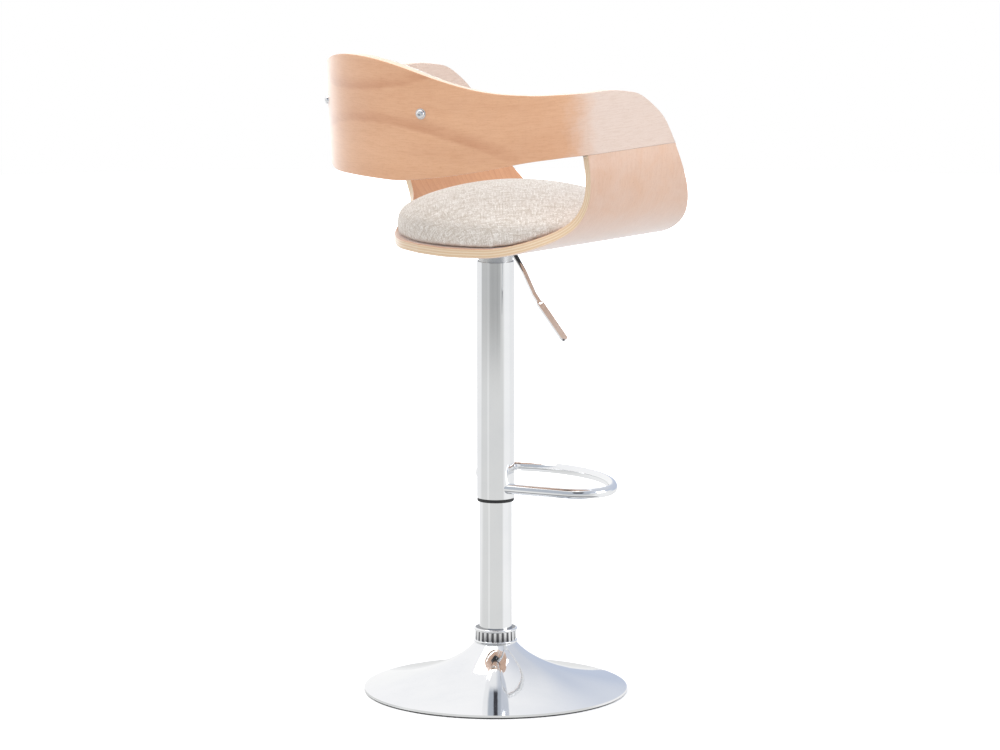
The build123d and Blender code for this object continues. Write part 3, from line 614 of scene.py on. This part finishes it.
def shell_outline(run):
    return side_line(SHELL_REAR_LINE, abs(run)), side_line(SHELL_FRONT_LINE, abs(run))


def band_place(run):
    if abs(run) <= BAND_ARC:
        return BACK_CENTRE - HALF_WIDTH * math.cos(run / HALF_WIDTH)
    return BACK_CENTRE + abs(run) - BAND_ARC


def band_outline(run):
    place = band_place(run)
    return side_line(BAND_LOW_LINE, place), side_line(BAND_TOP_LINE, place)


def bend_shell(run, reach, depth):
    """Where a point of the flat shell lies once it is bent round into a tub."""
    along = abs(run)
    if along <= FLOOR_HALF_WIDTH:
        side, height = along, depth
    elif along <= FLOOR_HALF_WIDTH + BEND_LENGTH:
        angle = (along - FLOOR_HALF_WIDTH) / BEND_RADIUS
        side = FLOOR_HALF_WIDTH + (BEND_RADIUS - depth) * math.sin(angle)
        height = BEND_RADIUS - (BEND_RADIUS - depth) * math.cos(angle)
    else:
        side = HALF_WIDTH - depth
        height = BEND_RADIUS + along - FLOOR_HALF_WIDTH - BEND_LENGTH
    return Vector((math.copysign(side, run), -reach, height))


def bend_band(run, height, depth):
    """Where a point of the flat band lies once it is bent round the sitter's back."""
    radius = HALF_WIDTH - depth
    if abs(run) <= BAND_ARC:
        angle = run / HALF_WIDTH
        side, reach = radius * math.sin(angle), BACK_CENTRE - radius * math.cos(angle)
    else:
        side, reach = math.copysign(radius, run), BACK_CENTRE + abs(run) - BAND_ARC
    return Vector((side, -reach, SEAM_HEIGHT + SEAM_GAP + height))


def link_piece(name, bm, material, smooth=True):
    mesh = bpy.data.meshes.new(name)
    for face in bm.faces:
        face.smooth = smooth
    bm.to_mesh(mesh)
    bm.free()
    piece = bpy.data.objects.new(name, mesh)
    bpy.context.scene.collection.objects.link(piece)
    mesh.materials.append(material)
    return piece


def keep_flat_faces(piece):
    """Shades the flats flat and only the rounded rims round."""
    piece.modifiers.new("flat_faces", "WEIGHTED_NORMAL").keep_sharp = True


def shell_seam(point):
    return abs(point.x) > SHELL_RUN - SAME_PLACE


def band_seam(point):
    return abs(point.y) < 1e-4 and band_place(point.x) > -0.004


SHARP_TURN = math.radians(50)
SEAM_BEVEL = 0.0004
RIM_BEVEL = 0.0011
SHELL_COLUMNS = 172
BAND_COLUMNS = 240


def make_ply_piece(name, half_run, columns, outline, bend, in_seam, material):
    """Cuts a flat board to its outline, rounds its rims and bends it into place."""
    bm = bmesh.new()
    bmesh.ops.create_grid(bm, x_segments=columns, y_segments=1, size=1.0)
    for vert in bm.verts:
        run = vert.co.x * half_run
        low, high = outline(run)
        vert.co = Vector((run, low if vert.co.y < 0 else high, 0.0))
    bmesh.ops.recalc_face_normals(bm, faces=bm.faces)
    grown = bmesh.ops.extrude_face_region(bm, geom=bm.faces[:])
    moved = [item for item in grown["geom"] if isinstance(item, bmesh.types.BMVert)]
    bmesh.ops.translate(bm, vec=(0, 0, PLY), verts=moved)
    bmesh.ops.recalc_face_normals(bm, faces=bm.faces)
    seams, rims = [], []
    for edge in bm.edges:
        if edge.calc_face_angle(0) < SHARP_TURN:
            continue
        middle = (edge.verts[0].co + edge.verts[1].co) / 2
        if abs(edge.verts[0].co.z - edge.verts[1].co.z) > SAME_PLACE:
            continue
        if in_seam(middle):
            seams.append(edge)
        elif abs(middle.x) < half_run - SAME_PLACE:
            rims.append(edge)
    for edges, offset in ((seams, SEAM_BEVEL), (rims, RIM_BEVEL)):
        alive = [edge for edge in edges if edge.is_valid]
        bmesh.ops.bevel(
            bm, geom=alive, offset=offset, segments=3, profile=0.5, affect="EDGES", material=-1,
        )
    sheet = bm.verts.layers.float_vector.new("sheet")
    for vert in bm.verts:
        vert[sheet] = vert.co.copy()
        vert.co = seat_frame @ bend(*vert.co)
    bmesh.ops.recalc_face_normals(bm, faces=bm.faces)
    piece = link_piece(name, bm, material)
    keep_flat_faces(piece)
    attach(piece, "lift")
    return piece


bent_shell = make_ply_piece(
    "bent_shell", SHELL_RUN, SHELL_COLUMNS, shell_outline, bend_shell, shell_seam, shell_ply
)
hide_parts("seat_shell")
bent_back = make_ply_piece(
    "bent_back", BAND_RUN, BAND_COLUMNS, band_outline, bend_band, band_seam, band_ply
)
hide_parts("back_band")


# Upholstery
PAD_CELL = 0.005
WELD_GAP = 0.00002
STUFFING_FRAMES = 20
CUSHION_MIDDLE = Vector((0.0, -0.045, 0.0))
PLEAT_HEIGHT = 0.028
PLEAT_SPREAD = 0.022
PLEAT_DEPTH = 0.0004

to_seat = seat_frame.inverted()


def soften(bm, verts, rounds):
    for round_number in range(rounds):
        bmesh.ops.smooth_vert(
            bm, verts=verts, factor=0.5, use_axis_x=True, use_axis_y=True, use_axis_z=True,
        )


def merged_copy(name, node, shrink, rounds):
    """A closed copy of a plain solid, drawn in a little so that it can swell."""
    bm = bmesh.new()
    bm.from_mesh(nodes[node].data)
    bmesh.ops.remove_doubles(bm, verts=bm.verts, dist=WELD_GAP)
    bmesh.ops.recalc_face_normals(bm, faces=bm.faces)
    piece = link_piece(name, bm, linen)
    remesh = piece.modifiers.new("even_cells", "REMESH")
    remesh.mode = "VOXEL"
    remesh.voxel_size = PAD_CELL
    apply_modifiers(piece)
    bm = bmesh.new()
    bm.from_mesh(piece.data)
    bm.normal_update()
    soften(bm, bm.verts, rounds)
    bm.normal_update()
    inward = [vert.normal * -shrink for vert in bm.verts]
    for vert, step in zip(bm.verts, inward):
        vert.co += step
    bm.to_mesh(piece.data)
    bm.free()
    return piece


def apply_modifiers(piece):
    ready = piece.evaluated_get(bpy.context.evaluated_depsgraph_get())
    mesh = bpy.data.meshes.new_from_object(ready)
    piece.modifiers.clear()
    piece.data = mesh


def swell(piece, pressure, cap, held):
    """Inflates a closed pad like stuffed cloth. Held points are stapled to the board."""
    rest = [vert.co.copy() for vert in piece.data.vertices]
    staples = piece.vertex_groups.new(name="staples")
    staples.add([vert.index for vert in piece.data.vertices if held(vert.co)], 1.0, "REPLACE")
    cloth = piece.modifiers.new("stuffing", "CLOTH")
    cloth.settings.vertex_group_mass = "staples"
    cloth.settings.use_pressure = True
    cloth.settings.uniform_pressure_force = pressure
    cloth.settings.tension_stiffness = 20
    cloth.settings.compression_stiffness = 20
    cloth.settings.bending_stiffness = 8
    cloth.settings.effector_weights.gravity = 0
    cloth.point_cache.frame_start = 1
    cloth.point_cache.frame_end = STUFFING_FRAMES
    for number in range(STUFFING_FRAMES):
        bpy.context.scene.frame_set(number + 1)
    apply_modifiers(piece)
    bpy.context.scene.frame_set(1)
    bm = bmesh.new()
    bm.from_mesh(piece.data)
    bm.verts.ensure_lookup_table()
    for vert, start in zip(bm.verts, rest):
        step = vert.co - start
        if step.length > cap:
            vert.co = start + step.normalized() * cap
    loose = [vert for vert in bm.verts if not held(vert.co)]
    soften(bm, loose, 6)
    bm.to_mesh(piece.data)
    bm.free()


def refine(piece):
    cells = piece.modifiers.new("finer_cells", "SUBSURF")
    cells.levels = 1
    cells.render_levels = 1
    apply_modifiers(piece)
    for polygon in piece.data.polygons:
        polygon.use_smooth = True


def lay_cloth(piece, flat_place):
    """Gives each point its place on the flat cloth, so that the weave follows the pad."""
    cloth = piece.data.attributes.new("cloth", "FLOAT_VECTOR", "POINT")
    for vert, item in zip(piece.data.vertices, cloth.data):
        item.vector = flat_place(vert)


def inside_shell(point, gap):
    """Pushes a point of the cushion back so that it rests on the shell and not in it."""
    point = point.copy()
    point.z = max(point.z, PLY + gap)
    over = abs(point.x) - FLOOR_HALF_WIDTH
    rise = BEND_RADIUS - point.z
    reach = BEND_RADIUS - PLY - gap
    if over > 0 and rise > 0 and math.hypot(over, rise) > reach:
        scale = reach / math.hypot(over, rise)
        point.x = math.copysign(FLOOR_HALF_WIDTH + over * scale, point.x)
        point.z = BEND_RADIUS - rise * scale
    return point


def cushion_cloth(vert):
    local = to_seat @ vert.co
    outward = Vector((local.x, local.y, 0.0)) - CUSHION_MIDDLE
    drop = max(0.0, 0.075 - local.z)
    steep = 1.0 - abs(vert.normal.z)
    if outward.length > 1e-6:
        outward = outward.normalized() * drop * min(1.0, steep * 1.3)
    flat = Vector((local.x + outward.x, local.y + outward.y, 0.0))
    return (flat.dot(RIGHT), flat.dot(AWAY), 0.0)


def make_seat_pad():
    pad = merged_copy("seat_pad", "seat_cushion", 0.0005, 2)
    swell(pad, 4.0, 0.007, lambda point: (to_seat @ point).z < PLY + 0.010)
    refine(pad)
    for vert in pad.data.vertices:
        local = to_seat @ vert.co
        outward = Vector((local.x, local.y, 0.0)) - CUSHION_MIDDLE
        bearing = math.atan2(outward.y, outward.x)
        edge = max(0.0, 1.0 - abs(local.z - PLEAT_HEIGHT) / PLEAT_SPREAD)
        edge *= min(1.0, max(0.0, (outward.length - 0.10) / 0.05))
        uneven = bearing * 46.0 + 1.7 * math.sin(bearing * 5.0)
        pleat = math.sin(uneven) * 0.5 + math.sin(bearing * 71.0) * 0.25
        local += outward.normalized() * pleat * edge * PLEAT_DEPTH
        vert.co = seat_frame @ inside_shell(local, 0.0004)
    lay_cloth(pad, cushion_cloth)
    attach(pad, "lift")
    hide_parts("seat_cushion")


def back_cloth(vert):
    local = to_seat @ vert.co
    angle = math.atan2(local.x, local.y + BACK_CENTRE)
    radius = math.hypot(local.x, local.y + BACK_CENTRE)
    return (angle * HALF_WIDTH, local.z, radius)


def on_back_board(point):
    local = to_seat @ point
    return math.hypot(local.x, local.y + BACK_CENTRE) > HALF_WIDTH - PLY - 0.0095


def make_lumbar_pad():
    pad = merged_copy("lumbar_pad", "back_pad", 0.0008, 1)
    swell(pad, 3.0, 0.004, on_back_board)
    refine(pad)
    near = HALF_WIDTH - PLY - 0.0066
    for vert in pad.data.vertices:
        local = to_seat @ vert.co
        flat = Vector((local.x, local.y + BACK_CENTRE))
        if flat.length > near:
            flat = flat.normalized() * near
            vert.co = seat_frame @ Vector((flat.x, flat.y - BACK_CENTRE, local.z))
    lay_cloth(pad, back_cloth)
    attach(pad, "lift")
    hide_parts("back_pad")


make_seat_pad()
make_lumbar_pad()


# Floor, light and camera
def make_pale_floor():
    """White paper floor, which glows with painted reflections for mirrors.

    Mirrors see a painted reflection: a glowing grey that changes with the direction from the
    middle, goes darker in the distance, and holds a painted dark ring round the base on the
    camera's side.
    """
    material, tree, shader = new_material("pale_floor", 0.0, 0.9)
    where = object_place(tree)
    cloud = grainy(tree, where, 3.0, 3.0, 0.5)
    seen = add(tree, "LightPath")
    by_camera = seen.outputs["Is Camera Ray"]
    lit = blend_colours(tree, by_camera, (0.62, 0.62, 0.62, 1), (0.98, 0.98, 0.98, 1))
    lit = blend_colours(tree, times(tree, cloud, 0.04), lit, (0.9, 0.9, 0.9, 1))
    feed(tree, shader.inputs["Base Color"], lit)
    rightward = dot(tree, where, RIGHT)
    away = dot(tree, where, AWAY)
    length = add(tree, "VectorMath", operation="LENGTH")
    feed(tree, length.inputs[0], where)
    distance = length.outputs["Value"]
    share = calc(tree, "DIVIDE", rightward, calc(tree, "MAXIMUM", distance, 0.01))
    to_right = ease(tree, share, 0.70, 0.86)
    grey = blend_colours(tree, to_right, (0.735, 0.74, 0.735, 1), (0.95, 0.955, 0.96, 1))
    stripe = ease(tree, gap_from(tree, share, -0.72), 0.0, 0.12, 1.0, 0.0)
    grey = blend_colours(tree, stripe, grey, (0.86, 0.865, 0.86, 1))
    far = times(
        tree, ease(tree, distance, 2.6, 4.0), ease(tree, share, 0.3, 0.75, 1.0, 0.0),
        ease(tree, share, -0.85, -0.40, 0.62, 1.0),
    )
    streaky = grainy(tree, vector_of(tree, times(tree, share, 9.0), 0.0), 1.0, 3.0, 0.6)
    far = times(tree, far, ease(tree, streaky, 0.3, 0.7, 0.55, 0.9))
    grey = blend_colours(tree, far, grey, (0.33, 0.335, 0.335, 1))
    grey = blend_colours(tree, ease(tree, away, 0.0, 0.6), grey, (0.90, 0.905, 0.91, 1))
    # Painted reflection: a dark ring round the base, seen only in mirrors
    ring = times(
        tree, ease(tree, distance, 0.46, 0.36), ease(tree, distance, 0.25, 0.29),
        ease(tree, away, -0.02, -0.10),
    )
    grey = blend_colours(tree, ring, grey, (0.10, 0.10, 0.12, 1))
    # Painted reflection: for glossy rays the floor glows with this grey instead of being lit
    painted_reflection_glow = add(tree, "Emission")
    feed(tree, painted_reflection_glow.inputs["Color"], grey)
    lift = times(tree, by_camera, ease(tree, distance, 0.15, 1.2, 0.12, 1.0))
    lifted = blend_colours(tree, lift, (0, 0, 0, 1), (1, 1, 1, 1))
    feed(tree, shader.inputs["Emission Color"], lifted)
    set_inputs(shader, Emission_Strength=1.0)
    both = add(tree, "MixShader")
    feed(tree, both.inputs[0], seen.outputs["Is Glossy Ray"])
    feed(tree, both.inputs[1], shader.outputs[0])
    feed(tree, both.inputs[2], painted_reflection_glow.outputs[0])
    feed(tree, tree.nodes["Material Output"].inputs["Surface"], both.outputs[0])
    return material


bm = bmesh.new()
bmesh.ops.create_circle(bm, cap_ends=True, radius=6.5, segments=96)
studio_floor = link_piece("studio_floor", bm, make_pale_floor(), smooth=False)

world = bpy.data.worlds.new("soft_studio")
bpy.context.scene.world = world
world.use_nodes = True
sky = world.node_tree
sky.nodes.clear()
ray = add(sky, "TexCoord").outputs["Generated"]
rightward = dot(sky, ray, RIGHT)
upward = dot(sky, ray, (0, 0, 1))
away = dot(sky, ray, AWAY)

# Walls and ceiling: white on the left, a cooler grey on the right
WHITE = (1.0, 1.0, 1.0, 1)
BRIGHT = (1.0, 1.0, 1.01, 1)
wall = blend_colours(sky, ease(sky, rightward, -0.95, -0.45), WHITE, (0.72, 0.73, 0.725, 1))
wall = blend_colours(sky, ease(sky, rightward, 0.25, 0.7), wall, (0.93, 0.935, 0.94, 1))
back_wall = blend_colours(sky, ease(sky, rightward, -0.05, 0.07), WHITE, (0.55, 0.61, 0.74, 1))
wall = blend_colours(sky, ease(sky, away, 0.2, 0.6), wall, back_wall)
ceiling = blend_colours(sky, ease(sky, rightward, -0.08, 0.22), BRIGHT, (0.59, 0.64, 0.75, 1))
overhead = blend_colours(sky, ease(sky, rightward, -0.08, 0.42), BRIGHT, (0.66, 0.69, 0.76, 1))
ceiling = blend_colours(sky, ease(sky, upward, 0.40, 0.65), ceiling, overhead)
dome = blend_colours(sky, ease(sky, upward, 0.10, 0.34), wall, ceiling)

# In mirrors only, the camera's side of the room is slate with a dark doorway in it
light_path = add(sky, "LightPath")
mirrored = light_path.outputs["Is Glossy Ray"]
slate = times(
    sky, ease(sky, away, -0.10, -0.40), ease(sky, upward, 0.80, 0.72),
    ease(sky, gap_from(sky, rightward, -0.12), 0.74, 0.60),
)
doorway = times(
    sky, slate, ease(sky, gap_from(sky, upward, 0.52), 0.26, 0.20),
    ease(sky, gap_from(sky, rightward, 0.0), 0.30, 0.18),
)
for zone, tone in ((slate, (0.50, 0.54, 0.60, 1)), (doorway, (0.06, 0.06, 0.07, 1))):
    dome = blend_colours(sky, times(sky, zone, mirrored), dome, tone)
shown = blend_colours(sky, light_path.outputs["Is Camera Ray"], dome, WHITE)
background = add(sky, "Background")
feed(sky, background.inputs["Color"], shown)
feed(sky, add(sky, "OutputWorld").inputs["Surface"], background.outputs[0])

LIGHTS_AIM = Vector((0, 0, 0.6))


def softbox(name, direction, distance, height, width, power):
    """A square lamp at a height and a distance from the middle, aimed at the stool."""
    light = bpy.data.lights.new(name, "AREA")
    light.shape = "RECTANGLE"
    light.size = width
    light.size_y = width
    light.energy = power
    lamp = bpy.data.objects.new(name, light)
    spot = direction.normalized() * distance
    lamp.location = (spot.x, spot.y, height)
    aim = LIGHTS_AIM - lamp.location
    lamp.rotation_euler = aim.to_track_quat("-Z", "Y").to_euler()
    bpy.context.scene.collection.objects.link(lamp)
    return lamp


softbox("front_right_softbox", Vector((-0.80, -0.60, 0)), 2.6, 1.2, 1.4, 16.0)
rear_left = softbox("rear_left_softbox", Vector((0.995, -0.02, 0)), 2.4, 0.85, 1.1, 20.0)
softbox("top_softbox", Vector((0.2, 0.1, 0)), 0.4, 3.0, 2.2, 34.0)
camera_side = softbox("camera_side_fill", Vector((-0.74, 0.67, 0)), 3.4, 2.6, 1.8, 38.0)
for lamp in (rear_left, camera_side):
    lamp.visible_glossy = False

CAMERA_PLACE = (-6.067, 4.408, 1.72)
CAMERA_DIP = math.radians(9.345)
camera_data = bpy.data.cameras.new("camera")
camera_data.sensor_width = 36.0
camera_data.lens = 181.296
camera_data.shift_x = 0.0035
camera_data.clip_end = 60.0
camera = bpy.data.objects.new("camera", camera_data)
camera.location = CAMERA_PLACE
look = AWAY.normalized() * math.cos(CAMERA_DIP) - Vector((0, 0, math.sin(CAMERA_DIP)))
camera.rotation_euler = look.to_track_quat("-Z", "Y").to_euler()
bpy.context.scene.collection.objects.link(camera)
bpy.context.scene.camera = camera
bpy.context.scene.view_settings.view_transform = "Standard"
